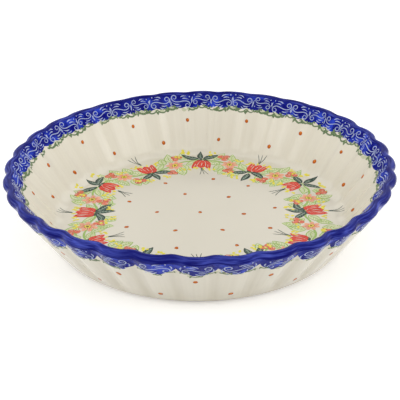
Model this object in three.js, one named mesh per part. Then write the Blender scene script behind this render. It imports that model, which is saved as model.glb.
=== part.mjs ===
// Fluted stoneware pie dish: one fired clay body under four coats of glaze.
// Millimetres, +Z up. The origin is on the table, at the middle of the foot ring.
// A crest of the flutes points at the front, which is -Y.
import * as THREE from 'three';

// Driving dimensions of the glazed dish
const RIM_DIAMETER = 262; // over the crests of the flutes, at the lip
const HEIGHT = 49; // from the table to the top of the lip
const LIP_THICKNESS = 6; // the lip is a full round of this width
const FOOT_DIAMETER = 196; // where the line of the outside wall meets the table
const WALL_AT_FLOOR = 7.1; // wall thickness at the height of the inside floor
const FLOOR_THICKNESS = 8; // between the recess underneath and the inside floor
const FLOOR_FILLET = 10; // radius of the corner between the floor and the inside wall

// Flutes: upright waves in the wall, from just above the foot to the lip
const FLUTE_COUNT = 32;
const FLUTE_DEPTH = 2; // from crest to groove, at the lip
const FLUTE_START = 2; // height above the table at which the wall is still round
const FLUTE_RUN = 10; // height over which the flutes deepen to their full share of the radius
const GROOVE_SHARPNESS = 0.2; // 0 is a plain wave, more gives round crests and tight grooves

// Foot ring: bare clay that the dish stands on
const FOOT_RING_WIDTH = 9; // its flat, on the table
const FOOT_RECESS = 3; // height of the glazed underside above the table
const FOOT_DRAFT = 1.5; // how far the inside of the ring leans inwards as it rises
const FOOT_BEVEL = 1.5; // how far the outside of the ring is cut back at the table
const BARE_FOOT_HEIGHT = 2; // the outside glaze stops here

// Glaze coats
const GLAZE_THICKNESS = 0.5;
const BOND_GAP = 0.02; // hairline between a coat and the clay that carries it
const UNDERSIDE_MARGIN = 3; // bare clay between the underside's glaze and the foot ring

// Facets
const STEPS_PER_FLUTE = 6;
const LIP_STEPS = 4;
const FILLET_STEPS = 2;

const LIP_RADIUS = LIP_THICKNESS / 2;
const FLOOR_TOP = FOOT_RECESS + FLOOR_THICKNESS;
const RIGHT_ANGLE = Math.PI / 2;

// Height of the flute wave at an angle round the dish, from about -1 in a groove to 1 on a crest.
function fluteWave(angle) {
  const phase = FLUTE_COUNT * angle;
  return Math.cos(phase) - GROOVE_SHARPNESS * Math.cos(2 * phase);
}

// Share of the radius that the flutes add or take away at a height.
function fluteShare(height) {
  const rise = THREE.MathUtils.clamp((height - FLUTE_START) / FLUTE_RUN, 0, 1);
  return (FLUTE_DEPTH / RIM_DIAMETER) * rise;
}

// The round profile of the dish, before it is fluted: arcs for the lip and the floor's corner,
// with the inside and outside walls as straight lines that touch the lip's round.
const lipHeight = HEIGHT - LIP_RADIUS;
const crestScale = 1 + fluteShare(lipHeight) * fluteWave(0);
const lipCentre = new THREE.Vector2(RIM_DIAMETER / 2 / crestScale - LIP_RADIUS, lipHeight);

// Angle above the horizontal of a line from a corner that touches the lip's round:
// side is 1 where it passes above the round and -1 where it passes below.
function wallSlope(corner, side) {
  const toLip = lipCentre.clone().sub(corner);
  return toLip.angle() + side * Math.asin(LIP_RADIUS / toLip.length());
}

// The outside wall rises from the foot, and the inside wall from the corner of the floor.
const footCorner = new THREE.Vector2(FOOT_DIAMETER / 2, 0);
const outsideSlope = wallSlope(footCorner, -1);
const floorCorner = new THREE.Vector2(
  footCorner.x + FLOOR_TOP / Math.tan(outsideSlope) - WALL_AT_FLOOR / Math.sin(outsideSlope),
  FLOOR_TOP,
);
const insideSlope = wallSlope(floorCorner, 1);
const filletCentre = new THREE.Vector2(
  floorCorner.x - FLOOR_FILLET * Math.tan(insideSlope / 2),
  FLOOR_TOP + FLOOR_FILLET,
);

function arc(centre, radius, fromAngle, toAngle, steps) {
  const clockwise = toAngle < fromAngle;
  const curve = new THREE.EllipseCurve(
    centre.x, centre.y, radius, radius, fromAngle, toAngle, clockwise,
  );
  return curve.getPoints(steps);
}

// The profile runs from the middle of the underside out to the foot, up the outside wall, over
// the lip and down the inside wall to the middle of the floor. Each stretch lies this far under
// the glazed surface.

// The outside wall from the top of the bare foot, past the height where the flutes are full, up
// to the lip.
function outsideProfile(depth) {
  const top = lipProfile(depth)[0];
  const wallAt = (height) => {
    const inset = (top.y - height) / Math.tan(outsideSlope);
    return new THREE.Vector2(top.x - inset, height);
  };
  return [wallAt(BARE_FOOT_HEIGHT), wallAt(FLUTE_START + FLUTE_RUN), top];
}

// The lip's round from the outside wall over the top to the inside wall.
function lipProfile(depth) {
  return arc(
    lipCentre, LIP_RADIUS - depth, outsideSlope - RIGHT_ANGLE, insideSlope + RIGHT_ANGLE, LIP_STEPS,
  );
}

// The inside wall from the lip down to its rounded corner, and the floor to its middle.
function insideProfile(depth) {
  const top = lipProfile(depth).at(-1);
  const corner = arc(
    filletCentre, FLOOR_FILLET + depth, insideSlope - RIGHT_ANGLE, -RIGHT_ANGLE, FILLET_STEPS,
  );
  const floorMiddle = new THREE.Vector2(0, FLOOR_TOP - depth);
  return [top, ...corner, floorMiddle];
}

// The clay of the recess, from the axis outwards, and the foot ring round it.
const recessCeiling = FOOT_RECESS + GLAZE_THICKNESS;
const footOuterRadius = FOOT_DIAMETER / 2 - FOOT_BEVEL;
const footInnerRadius = footOuterRadius - FOOT_RING_WIDTH;
const recessRadius = footInnerRadius - FOOT_DRAFT;

function footProfile() {
  return [
    new THREE.Vector2(0, recessCeiling),
    new THREE.Vector2(recessRadius, recessCeiling),
    new THREE.Vector2(footInnerRadius, 0),
    new THREE.Vector2(footOuterRadius, 0),
  ];
}

// Splits every four-cornered facet of a turned geometry along its shorter diagonal, so that
// two pieces that share a fluted face split it alike.
function splitAlongShorterDiagonals(geometry, pointsPerStep) {
  const position = geometry.getAttribute('position');
  const corner = (index) => new THREE.Vector3().fromBufferAttribute(position, index);
  const steps = position.count / pointsPerStep - 1;
  const triangles = [];
  for (let step = 0; step < steps; step += 1) {
    for (let point = 0; point < pointsPerStep - 1; point += 1) {
      const near = step * pointsPerStep + point;
      const far = near + pointsPerStep;
      const [a, b, c, d] = [near, far, far + 1, near + 1];
      if (corner(a).distanceToSquared(corner(c)) < corner(b).distanceToSquared(corner(d))) {
        triangles.push(a, b, c, a, c, d);
      } else {
        triangles.push(a, b, d, b, c, d);
      }
    }
  }
  geometry.setIndex(triangles);
}

// Turns a profile about the axis, then scales each point in or out by the flute wave.
function turnFluted(profile) {
  const geometry = new THREE.LatheGeometry(profile, FLUTE_COUNT * STEPS_PER_FLUTE);
  geometry.rotateX(RIGHT_ANGLE);
  const position = geometry.getAttribute('position');
  for (let i = 0; i < position.count; i += 1) {
    const angle = Math.atan2(position.getX(i), -position.getY(i));
    const scale = 1 + fluteShare(position.getZ(i)) * fluteWave(angle);
    position.setXY(i, position.getX(i) * scale, position.getY(i) * scale);
  }
  splitAlongShorterDiagonals(geometry, profile.length);
  geometry.computeVertexNormals();
  return geometry;
}

function turnedPiece(name, profile, material) {
  const piece = new THREE.Mesh(turnFluted(profile), material);
  piece.name = name;
  return piece;
}

// A coat fills the space between the clay and the glazed surface. One that reaches the axis
// starts and ends there, and any other closes on its first point.
function coatProfile(stretch) {
  const loop = [...stretch(GLAZE_THICKNESS - BOND_GAP).reverse(), ...stretch(0)];
  const reachesAxis = loop[0].x === 0;
  return reachesAxis ? loop : [...loop, loop[0]];
}

const clay = new THREE.MeshStandardMaterial({ color: 0xc9b797, roughness: 0.9, metalness: 0 });
const creamGlaze = new THREE.MeshStandardMaterial({ color: 0xdcd7c5, roughness: 0.15, metalness: 0 });
const cobaltGlaze = new THREE.MeshStandardMaterial({ color: 0x22267a, roughness: 0.12, metalness: 0 });

function stonewareBody() {
  const profile = [
    ...footProfile(),
    ...outsideProfile(GLAZE_THICKNESS).slice(0, -1),
    ...lipProfile(GLAZE_THICKNESS),
    ...insideProfile(GLAZE_THICKNESS).slice(1),
  ];
  return turnedPiece('stoneware_body', profile, clay);
}

function undersideGlaze() {
  const radius = recessRadius - UNDERSIDE_MARGIN;
  const top = recessCeiling - BOND_GAP;
  const profile = [
    new THREE.Vector2(0, FOOT_RECESS),
    new THREE.Vector2(radius, FOOT_RECESS),
    new THREE.Vector2(radius, top),
    new THREE.Vector2(0, top),
  ];
  return turnedPiece('underside_glaze', profile, creamGlaze);
}

const pieDish = new THREE.Group();
pieDish.name = 'fluted_pie_dish';
pieDish.add(
  stonewareBody(),
  turnedPiece('inside_glaze', coatProfile(insideProfile), creamGlaze),
  turnedPiece('rim_glaze', coatProfile(lipProfile), cobaltGlaze),
  turnedPiece('outside_glaze', coatProfile(outsideProfile), creamGlaze),
  undersideGlaze(),
);

export default pieDish;
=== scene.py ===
import math
import random

import bpy
import numpy as np
from mathutils import Matrix, Vector


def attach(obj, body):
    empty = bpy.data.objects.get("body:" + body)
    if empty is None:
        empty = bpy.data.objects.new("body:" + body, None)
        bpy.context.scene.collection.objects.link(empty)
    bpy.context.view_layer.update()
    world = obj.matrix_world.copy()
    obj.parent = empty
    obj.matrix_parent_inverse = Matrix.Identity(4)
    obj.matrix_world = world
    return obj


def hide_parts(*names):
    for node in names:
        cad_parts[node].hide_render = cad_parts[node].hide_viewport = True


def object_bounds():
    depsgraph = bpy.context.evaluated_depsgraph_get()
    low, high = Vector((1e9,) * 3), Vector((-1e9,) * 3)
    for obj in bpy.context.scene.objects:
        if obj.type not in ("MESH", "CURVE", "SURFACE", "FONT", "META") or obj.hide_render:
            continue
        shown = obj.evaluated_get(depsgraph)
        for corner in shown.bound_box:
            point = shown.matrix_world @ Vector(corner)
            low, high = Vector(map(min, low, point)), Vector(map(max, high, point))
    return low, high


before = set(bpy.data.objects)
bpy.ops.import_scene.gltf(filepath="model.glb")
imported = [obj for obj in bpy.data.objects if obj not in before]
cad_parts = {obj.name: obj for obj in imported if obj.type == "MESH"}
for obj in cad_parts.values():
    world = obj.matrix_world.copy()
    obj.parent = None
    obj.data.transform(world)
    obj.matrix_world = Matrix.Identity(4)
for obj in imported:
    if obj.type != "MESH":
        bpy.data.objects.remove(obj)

bl_info = {
    "name": "Fluted Pie Dish",
    "version": (1, 0, 0),
    "blender": (4, 5, 0),
    "location": "3D View > Sidebar > Pie Dish",
    "description": "A glazed stoneware pie dish with painted borders, dots and a garland",
    "category": "Add Mesh",
}

MM = 0.001
CAD_LOW, CAD_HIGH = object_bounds()


def srgb(red, green, blue):
    """The linear colour of a mixed paint given in 0 to 255."""
    levels = np.array([red, green, blue]) / 255
    return tuple(np.where(levels <= 0.04045, levels / 12.92, ((levels + 0.055) / 1.055) ** 2.4))


def length(name, description, default):
    return bpy.props.FloatProperty(
        name=name, description=description, default=default, min=0, precision=4, unit="LENGTH"
    )


def tilt(name, description, degrees):
    return bpy.props.FloatProperty(
        name=name, description=description, default=math.radians(degrees), subtype="ANGLE"
    )


def pigment(name, description, default):
    return bpy.props.FloatVectorProperty(
        name=name, description=description, default=default, size=3, min=0, max=1, subtype="COLOR"
    )


class PieDishShape(bpy.types.PropertyGroup):
    """Sizes of the glazed dish"""

    rim_diameter: length("Rim", "Over the crests of the flutes, at the lip", CAD_HIGH.x - CAD_LOW.x)
    height: length("Height", "From the table to the top of the lip", 0.049)
    lip_thickness: length("Lip", "Width of the round lip", 0.006)
    foot_diameter: length("Foot", "Where the line of the outside wall meets the table", 0.196)
    wall_at_floor: length("Wall", "Thickness of the wall at the height of the floor", 0.0071)
    floor_height: length("Floor", "Height of the inside floor above the table", 0.011)
    floor_fillet: length("Corner", "Radius between the floor and the inside wall", 0.010)
    flute_depth: length("Flutes", "From crest to groove, at the lip", 0.0020)
    flute_start: length("Flute start", "Height at which the wall is still round", 0.002)
    flute_run: length("Flute run", "Height over which the flutes deepen", 0.010)
    foot_ring_width: length("Foot ring", "Flat of the ring on the table", 0.009)
    foot_recess: length("Recess", "Height of the underside above the table", 0.003)
    foot_draft: length("Draft", "Lean of the inside of the foot ring", 0.0015)
    foot_bevel: length("Bevel", "Cut back on the outside of the foot ring", 0.0015)
    bare_foot: length("Bare foot", "Height at which the outside glaze stops", 0.002)
    glaze: length("Glaze", "Thickness of the glaze coats", 0.0005)
    underside_margin: length("Margin", "Bare clay between the underside's glaze and the ring", 0.003)
    flute_count: bpy.props.IntProperty(
        name="Flute count", description="Waves round the wall", default=32, min=3
    )
    groove_sharpness: bpy.props.FloatProperty(
        name="Grooves", description="0 is a plain wave, more gives tight grooves", default=0.20, min=0
    )


class PieDishColours(bpy.types.PropertyGroup):
    """Clay, glaze and underglaze colours"""

    clay: pigment("Clay", "Bare fired stoneware", srgb(203, 186, 156))
    cream: pigment("Cream", "Clear glaze over the pale slip", srgb(226, 220, 203))
    # honey also paints shade: on the flat of the floor and in the grooves outside
    honey: pigment("Honey", "Where the glaze has pooled", srgb(212, 205, 186))
    cobalt: pigment("Cobalt", "Solid brushed lip", srgb(10, 13, 102))
    border_blue: pigment("Border blue", "Sponged cobalt of the borders", srgb(8, 14, 118))
    cobalt_wash: pigment("Cobalt wash", "Where the borders' cobalt lies thinner", srgb(46, 70, 196))
    lip_wash: pigment("Lip wash", "Where the brush ran thin on the lip", srgb(76, 88, 186))
    pale_blue: pigment("Pale blue", "Lines left open in the borders", srgb(196, 208, 228))
    sage: pigment("Sage", "Tendrils", srgb(54, 90, 60))
    sage_wash: pigment("Sage wash", "Pale leaves of the tendrils", srgb(178, 190, 146))
    rust: pigment("Rust", "Dots", srgb(166, 70, 24))
    amber: pigment("Amber", "Lighter half of the dots", srgb(224, 132, 48))
    red: pigment("Red", "Tulips", srgb(222, 48, 26))
    coral: pigment("Coral", "Berries", srgb(224, 96, 60))
    peach: pigment("Peach", "Daisy petals", srgb(242, 164, 128))
    yellow: pigment("Yellow", "Buds and daisy hearts", srgb(236, 222, 56))
    lime: pigment("Lime", "Soft leaves and stems", srgb(142, 184, 64))
    lime_wash: pigment("Lime wash", "Thin fill of the soft leaves", srgb(218, 226, 168))
    pine: pigment("Pine", "Dark leaves", srgb(26, 60, 50))
    mist: pigment("Mist", "Veins of the dark leaves", srgb(150, 170, 152))
    umber: pigment("Umber", "Flower hearts", srgb(116, 42, 18))


class PieDishStage(bpy.types.PropertyGroup):
    """Camera and light"""

    camera_height: length("Camera height", "Above the table", 0.3749)
    camera_distance: length("Camera distance", "From the dish's axis, along the table", 0.6904)
    camera_turn: tilt("Camera turn", "Round the dish from the front", 1.07)
    camera_pitch: tilt("Camera pitch", "Below the horizon", 27.178)
    camera_roll: tilt("Camera roll", "About the line of sight", -0.883)
    lens: bpy.props.FloatProperty(
        name="Lens", description="Focal length on a 36 mm sensor", default=102.4, unit="CAMERA"
    )
    ambient: bpy.props.FloatProperty(
        name="Ambient", description="Strength of the even light all round", default=0.47, min=0
    )


# Small departures from a perfect turning, each a sum of waves round the dish: waves per turn, size
# and phase. A wave of no turns is the same all round.
CREST_SHIFT = (  # degrees
    (0, 0.30, 1.57), (1, 0.36, 0.5), (3, 0.20, 0.4), (7, 0.16, 2.1), (13, 0.14, 4.0),
)
FLUTE_SWELL = (  # share of the flutes' depth
    (1, 0.30, 1.3), (4, 0.06, 1.0), (5, 0.18, 4.7), (9, 0.06, 2.7), (15, 0.05, 0.2),
)
LIP_RISE = (  # millimetres, at the lip
    (0, 0.50, 1.57), (1, 0.33, 0.86), (2, 0.27, 3.86), (3, 0.45, 3.75),
    (4, 0.33, 3.45), (5, 0.08, 3.0), (11, 0.06, 1.3),
)
LIP_RISE_FADE = 3  # power of the height by which the rise dies away towards the foot


def hand_wave(angle, waves):
    """Height of a sum of waves at an angle round the dish."""
    return sum(size * np.sin(turns * angle + phase) for turns, size, phase in waves)


class DishSurface:
    """The glazed skin of the dish, in millimetres and radians.

    A walk along its profile starts at the middle of the floor, goes up the inside wall, over the
    lip and down the outside wall to the bare foot. Angles start at the front and grow to the right.
    """

    def __init__(self, shape):
        self.rim = shape.rim_diameter / MM / 2
        self.height = shape.height / MM
        self.lip_radius = shape.lip_thickness / MM / 2
        self.foot = shape.foot_diameter / MM / 2
        self.floor = shape.floor_height / MM
        self.fillet = shape.floor_fillet / MM
        self.flute_depth = shape.flute_depth / MM
        self.flute_start = shape.flute_start / MM
        self.flute_run = shape.flute_run / MM
        self.flute_count = shape.flute_count
        self.groove_sharpness = shape.groove_sharpness
        self.glaze = shape.glaze / MM
        self.bare_foot = shape.bare_foot / MM

        lip_height = self.height - self.lip_radius
        crest = 1 + self.flute_share(lip_height) * (1 - self.groove_sharpness)
        self.lip_centre = np.array([self.rim / crest - self.lip_radius, lip_height])
        self.outside_slope = self.slope_to_lip(np.array([self.foot, 0.0]), -1)
        wall = shape.wall_at_floor / MM
        corner = self.foot + self.floor / math.tan(self.outside_slope)
        corner -= wall / math.sin(self.outside_slope)
        self.inside_slope = self.slope_to_lip(np.array([corner, self.floor]), 1)
        self.floor_end = corner - self.fillet * math.tan(self.inside_slope / 2)
        self.fillet_centre = np.array([self.floor_end, self.floor + self.fillet])
        self.measure_walk()

    def slope_to_lip(self, corner, side):
        to_lip = self.lip_centre - corner
        lean = math.asin(self.lip_radius / np.hypot(*to_lip))
        return math.atan2(to_lip[1], to_lip[0]) + side * lean

    def measure_walk(self):
        """Lengths along the profile at which one stretch ends and the next starts."""
        inside = np.array([math.sin(self.inside_slope), -math.cos(self.inside_slope)])
        outside = np.array([math.sin(self.outside_slope), -math.cos(self.outside_slope)])
        self.wall_bottom = self.fillet_centre + self.fillet * inside
        wall_top = self.lip_centre - self.lip_radius * inside
        self.outside_top = self.lip_centre + self.lip_radius * outside
        lip_sweep = math.pi + self.inside_slope - self.outside_slope
        drop = (self.outside_top[1] - self.bare_foot) / math.sin(self.outside_slope)
        self.corner_end = self.floor_end + self.fillet * self.inside_slope
        self.lip_start = self.corner_end + np.hypot(*(wall_top - self.wall_bottom))
        self.lip_end = self.lip_start + self.lip_radius * lip_sweep
        self.foot_end = self.lip_end + drop

    def profile(self, walk, depth=0.0):
        """Radius and height of the round profile, this far under the glazed surface."""
        walk = np.asarray(walk, float)
        corner_turn = (walk - self.floor_end) / self.fillet - math.pi / 2
        lip_turn = self.inside_slope + math.pi / 2 - (walk - self.lip_start) / self.lip_radius
        up, down = walk - self.corner_end, walk - self.lip_end
        rise, fall = self.inside_slope, self.outside_slope
        flat = np.zeros_like(walk)
        stretches = (
            (walk, flat + self.floor, flat, flat + 1),
            (self.fillet_centre[0] + self.fillet * np.cos(corner_turn),
             self.fillet_centre[1] + self.fillet * np.sin(corner_turn),
             -np.cos(corner_turn), -np.sin(corner_turn)),
            (self.wall_bottom[0] + up * math.cos(rise), self.wall_bottom[1] + up * math.sin(rise),
             flat - math.sin(rise), flat + math.cos(rise)),
            (self.lip_centre[0] + self.lip_radius * np.cos(lip_turn),
             self.lip_centre[1] + self.lip_radius * np.sin(lip_turn),
             np.cos(lip_turn), np.sin(lip_turn)),
            (self.outside_top[0] - down * math.cos(fall), self.outside_top[1] - down * math.sin(fall),
             flat + math.sin(fall), flat - math.cos(fall)),
        )
        ends = (self.floor_end, self.corner_end, self.lip_start, self.lip_end)
        where = [walk <= end for end in ends]
        radius, height, out, up = (
            np.select(where, parts[:-1], parts[-1]) for parts in zip(*stretches)
        )
        return radius - depth * out, height - depth * up

    def flute_share(self, height):
        rise = np.clip((height - self.flute_start) / self.flute_run, 0, 1)
        return self.flute_depth / (2 * self.rim) * rise ** 2 * (3 - 2 * rise)

    def flute_wave(self, angle):
        phase = self.flute_count * (angle + np.radians(hand_wave(angle, CREST_SHIFT)))
        plain = np.cos(phase) - self.groove_sharpness * np.cos(2 * phase)
        return plain * (1 + hand_wave(angle, FLUTE_SWELL))

    def fluted(self, radius, height, angle):
        """Points of the dish, from the radius and height of its round profile."""
        scale = 1 + self.flute_share(height) * self.flute_wave(angle)
        lift = hand_wave(angle, LIP_RISE) * np.clip(height / self.height, 0, 1) ** LIP_RISE_FADE
        across, deep = radius * scale * np.sin(angle), -radius * scale * np.cos(angle)
        return np.stack(np.broadcast_arrays(across, deep, height + lift), axis=-1)

    def points(self, walk, angle, lift):
        """Points of the dish this far above the glazed surface."""
        return self.fluted(*self.profile(walk, -lift), angle)

    def chart(self, spot, local):
        """Walk and angle of points drawn on a flat patch of the surface: x runs round the dish,
        y along the walk, in millimetres from the spot."""
        turned = (local * spot.scale) @ spot.rotation
        reach = spot.walk + turned[:, 1]
        walk = np.hypot(reach, turned[:, 0])
        radius = np.maximum(self.profile(walk)[0], MM)
        squeeze = np.maximum(walk, MM) / radius
        return walk, spot.angle + np.arctan2(turned[:, 0], reach) * squeeze


class Spot:
    """A place on the surface to paint at, with a turn and a scale for what is painted there."""

    def __init__(self, walk, angle, turn=0.0, scale=1.0):
        self.walk, self.angle, self.turn, self.scale = walk, angle, turn, scale
        across, along = math.cos(turn), math.sin(turn)
        self.rotation = np.array([[across, -along], [along, across]])

    def at(self, x, y, turn=0.0):
        """A spot beside this one, at a place in this one's own patch."""
        side, out = (np.array([x, y]) * self.scale) @ self.rotation
        shift = math.atan2(side, self.walk + out)
        walk = math.hypot(self.walk + out, side)
        return Spot(walk, self.angle + shift, self.turn + turn - shift, self.scale)


def skin_faces(rings, close):
    """Faces of a skin through rings of points. A ring of one point is a pole."""
    starts = np.cumsum([0] + [len(ring) for ring in rings])
    faces = []
    count = len(rings)
    for here in range(count if close else count - 1):
        there = (here + 1) % count
        steps = max(len(rings[here]), len(rings[there]))
        step = np.arange(steps)
        after = (step + 1) % steps
        if len(rings[here]) == 1:
            corners = (0 * step + starts[here], starts[there] + step, starts[there] + after)
        elif len(rings[there]) == 1:
            corners = (starts[here] + step, 0 * step + starts[there], starts[here] + after)
        else:
            corners = (starts[here] + step, starts[there] + step,
                       starts[there] + after, starts[here] + after)
        faces += np.stack(corners, axis=1).tolist()
    return faces


SHARP_EDGE = math.radians(40)


def add_piece(name, vertices, faces, material):
    """A shaded piece that rides on the dish, from vertices in millimetres."""
    mesh = bpy.data.meshes.new(name)
    mesh.from_pydata((np.asarray(vertices) * MM).tolist(), [], faces)
    mesh.shade_smooth()
    mesh.set_sharp_from_angle(angle=SHARP_EDGE)
    mesh.materials.append(material)
    piece = bpy.data.objects.new(name, mesh)
    bpy.context.scene.collection.objects.link(piece)
    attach(piece, "root")
    return piece


def add_skin(name, rings, close, material):
    """A piece whose skin runs through rings of points."""
    return add_piece(name, np.concatenate(rings), skin_faces(rings, close), material)


def set_point_values(mesh, name, values):
    layer = mesh.attributes.new(name, "FLOAT", "POINT")
    layer.data.foreach_set("value", np.asarray(values, np.float32))


# Materials

def feed(tree, socket, value):
    """Give a socket a link, a colour or a plain value."""
    if isinstance(value, bpy.types.NodeSocket):
        tree.links.new(value, socket)
    elif socket.type == "RGBA":
        socket.default_value = (*value, 1)
    else:
        socket.default_value = value


def node(tree, kind, settings=None, **inputs):
    """A shader node with its settings, and with inputs given by socket name."""
    made = tree.nodes.new(kind)
    for name, value in (settings or {}).items():
        setattr(made, name, value)
    for name, value in inputs.items():
        feed(tree, made.inputs[name.replace("_", " ")], value)
    return made


def worked_out(tree, kind, values, settings=None):
    """The result of a node whose first sockets take these values in order."""
    made = node(tree, kind, settings)
    for socket, value in zip(made.inputs, values):
        feed(tree, socket, value)
    return made.outputs[0]


def arithmetic(tree, operation, *values):
    return worked_out(tree, "ShaderNodeMath", values, {"operation": operation})


def vector_arithmetic(tree, operation, *values):
    return worked_out(tree, "ShaderNodeVectorMath", values, {"operation": operation})


def ranged(tree, value, low, high, to_low=0.0, to_high=1.0):
    """A value moved from one range to another, and held there."""
    values = (value, low, high, to_low, to_high)
    return worked_out(tree, "ShaderNodeMapRange", values, {"interpolation_type": "SMOOTHSTEP"})


MIX_FACTOR, MIX_FIRST, MIX_SECOND, MIX_RESULT = 0, 6, 7, 2  # sockets of a mix node for colours


def mixed(tree, factor, first, second):
    """A colour between two colours."""
    mix = node(tree, "ShaderNodeMix", {"data_type": "RGBA"})
    feed(tree, mix.inputs[MIX_FACTOR], factor)
    feed(tree, mix.inputs[MIX_FIRST], first)
    feed(tree, mix.inputs[MIX_SECOND], second)
    return mix.outputs[MIX_RESULT]


def attribute(tree, name):
    return node(tree, "ShaderNodeAttribute", {"attribute_name": name}).outputs["Fac"]


def place(tree):
    return node(tree, "ShaderNodeTexCoord").outputs["Object"]


def noise(tree, vector, scale, detail):
    return node(tree, "ShaderNodeTexNoise", Vector=vector, Scale=scale, Detail=detail).outputs["Fac"]


def patches(tree, vector, scale, detail=3.0, edges=(0.3, 0.7), levels=(0.0, 1.0)):
    """Soft patches between two levels: noise of this scale, cut at these edges."""
    return ranged(tree, noise(tree, vector, scale, detail), *edges, *levels)


def cells(tree, vector, scale):
    """Distance from the middles of small cells."""
    return node(tree, "ShaderNodeTexVoronoi", Vector=vector, Scale=scale).outputs["Distance"]


def round_grain(tree, round_count, across_count):
    """Coordinates that run round the dish and along the walk, for marks left by a turning brush."""
    level = vector_arithmetic(tree, "MULTIPLY", place(tree), (1, 1, 0))
    ring = vector_arithmetic(tree, "NORMALIZE", level)
    spread = vector_arithmetic(tree, "MULTIPLY", ring, (round_count, round_count, round_count))
    across = arithmetic(tree, "MULTIPLY", attribute(tree, "walk"), across_count)
    lifted = node(tree, "ShaderNodeCombineXYZ", Z=across).outputs["Vector"]
    return vector_arithmetic(tree, "ADD", spread, lifted)


def new_material(name):
    material = bpy.data.materials.new(name)
    material.use_nodes = True
    tree = material.node_tree
    return material, tree, tree.nodes["Principled BSDF"]


def roughen(tree, shader, strength, depth, height):
    """Bump on a shader, this deep in metres."""
    bump = node(tree, "ShaderNodeBump", Strength=strength, Distance=depth, Height=height)
    feed(tree, shader.inputs["Normal"], bump.outputs["Normal"])


GLAZE_IOR = 1.5
CLEAR_GLOSS = 0.5  # specular level of glaze over slip
PAINT_GLOSS = 0.05  # and over painted colour, which dulls it
SHEEN_SCALE = 55.0  # of patches where the glaze is smoother or rougher
SMOOTHER, ROUGHER = 0.8, 1.25
RIPPLE_SCALE, RIPPLE_DEPTH = 85.0, 0.0006


def finish_glaze(tree, shader, roughness, ripple, gloss):
    """The finish of every glazed surface: glassy, with the faint ripple of a dipped coat."""
    where = place(tree)
    spread = (roughness * SMOOTHER, roughness * ROUGHER)
    feed(tree, shader.inputs["Roughness"], patches(tree, where, SHEEN_SCALE, levels=spread))
    roughen(tree, shader, ripple, RIPPLE_DEPTH, noise(tree, where, RIPPLE_SCALE, detail=2.0))
    shader.inputs["IOR"].default_value = GLAZE_IOR
    shader.inputs["Specular IOR Level"].default_value = gloss


CLOUD_WARMTH = 0.30  # share of honey in the slow clouds of the cream glaze
POOL_AND_SHADE_WARMTH = 0.5  # where the glaze has pooled, and in the painted shade of the floor and the outside grooves
LINE_WARMTH = 0.17  # and in the upright lines of the walls
SPECK_SCALE, SPECK_STRENGTH = 210.0, 0.35


def cream_glaze(name, colours, surface):
    """Clear glaze over pale slip: warmer where it has pooled, and in painted shade on the floor and in
    the grooves outside; drawn down the walls in fine upright lines, with a few faint iron specks."""
    material, tree, shader = new_material(name)
    where = place(tree)
    cloud = patches(tree, where, scale=14.0, edges=(0.35, 0.65), levels=(0.0, CLOUD_WARMTH))
    # honey for pooled glaze, and painted shade on the floor and in the outside grooves
    pooled = arithmetic(tree, "MULTIPLY", attribute(tree, "pool"), POOL_AND_SHADE_WARMTH)
    upright = round_grain(tree, round_count=70.0, across_count=0.012)
    line = patches(tree, upright, scale=1.0, detail=2.0, edges=(0.35, 0.65))
    walk = attribute(tree, "walk")
    on_wall = ranged(tree, walk, surface.floor_end, surface.corner_end, 0.0, LINE_WARMTH)
    drawn = arithmetic(tree, "MULTIPLY", line, on_wall)
    warmth = arithmetic(tree, "ADD", arithmetic(tree, "MAXIMUM", cloud, pooled), drawn)
    ground = mixed(tree, warmth, colours.cream, colours.honey)
    grains = cells(tree, where, SPECK_SCALE)
    speck = ranged(tree, grains, low=0.03, high=0.10, to_low=1.0, to_high=0.0)
    rare = patches(
        tree, where, scale=90.0, detail=1.0, edges=(0.66, 0.74), levels=(0.0, SPECK_STRENGTH)
    )
    specks = arithmetic(tree, "MULTIPLY", speck, rare)
    feed(tree, shader.inputs["Base Color"], mixed(tree, specks, ground, colours.umber))
    finish_glaze(tree, shader, roughness=0.18, ripple=0.10, gloss=CLEAR_GLOSS)
    return material


STREAK_WASH = 0.9  # how far a streak of the lip goes towards the wash
HIGHLIGHT_TOP, HIGHLIGHT_REACH = 0.4, 2.6  # millimetres on each side of the lip's top over which it is painted lighter: thinner cobalt and a painted highlight
HIGHLIGHT_WASH = 0.15  # how far the lighter top, thinner cobalt with a painted highlight, goes towards the wash


def cobalt_glaze(name, colours, lip_top):
    """Solid cobalt laid on with a loaded brush: long streaks round the lip, thinner on its top and
    lighter there with a painted highlight.
    """
    material, tree, shader = new_material(name)
    brushed = round_grain(tree, round_count=7.0, across_count=0.55)
    streak = patches(
        tree, brushed, scale=1.6, detail=4.0, edges=(0.40, 0.70), levels=(0.0, STREAK_WASH)
    )
    past_top = arithmetic(tree, "SUBTRACT", attribute(tree, "walk"), lip_top)
    aside = arithmetic(tree, "ABSOLUTE", past_top)
    # painted highlight along the lip's top, where the cobalt also lies thinner
    worn = ranged(tree, aside, HIGHLIGHT_TOP, HIGHLIGHT_REACH, HIGHLIGHT_WASH, 0.0)
    patch = patches(tree, place(tree), scale=45.0, detail=2.0, levels=(0.3, 1.0))
    load = arithmetic(tree, "MULTIPLY", arithmetic(tree, "ADD", streak, worn), patch)
    feed(tree, shader.inputs["Base Color"], mixed(tree, load, colours.cobalt, colours.lip_wash))
    finish_glaze(tree, shader, roughness=0.22, ripple=0.12, gloss=PAINT_GLOSS)
    return material


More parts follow.
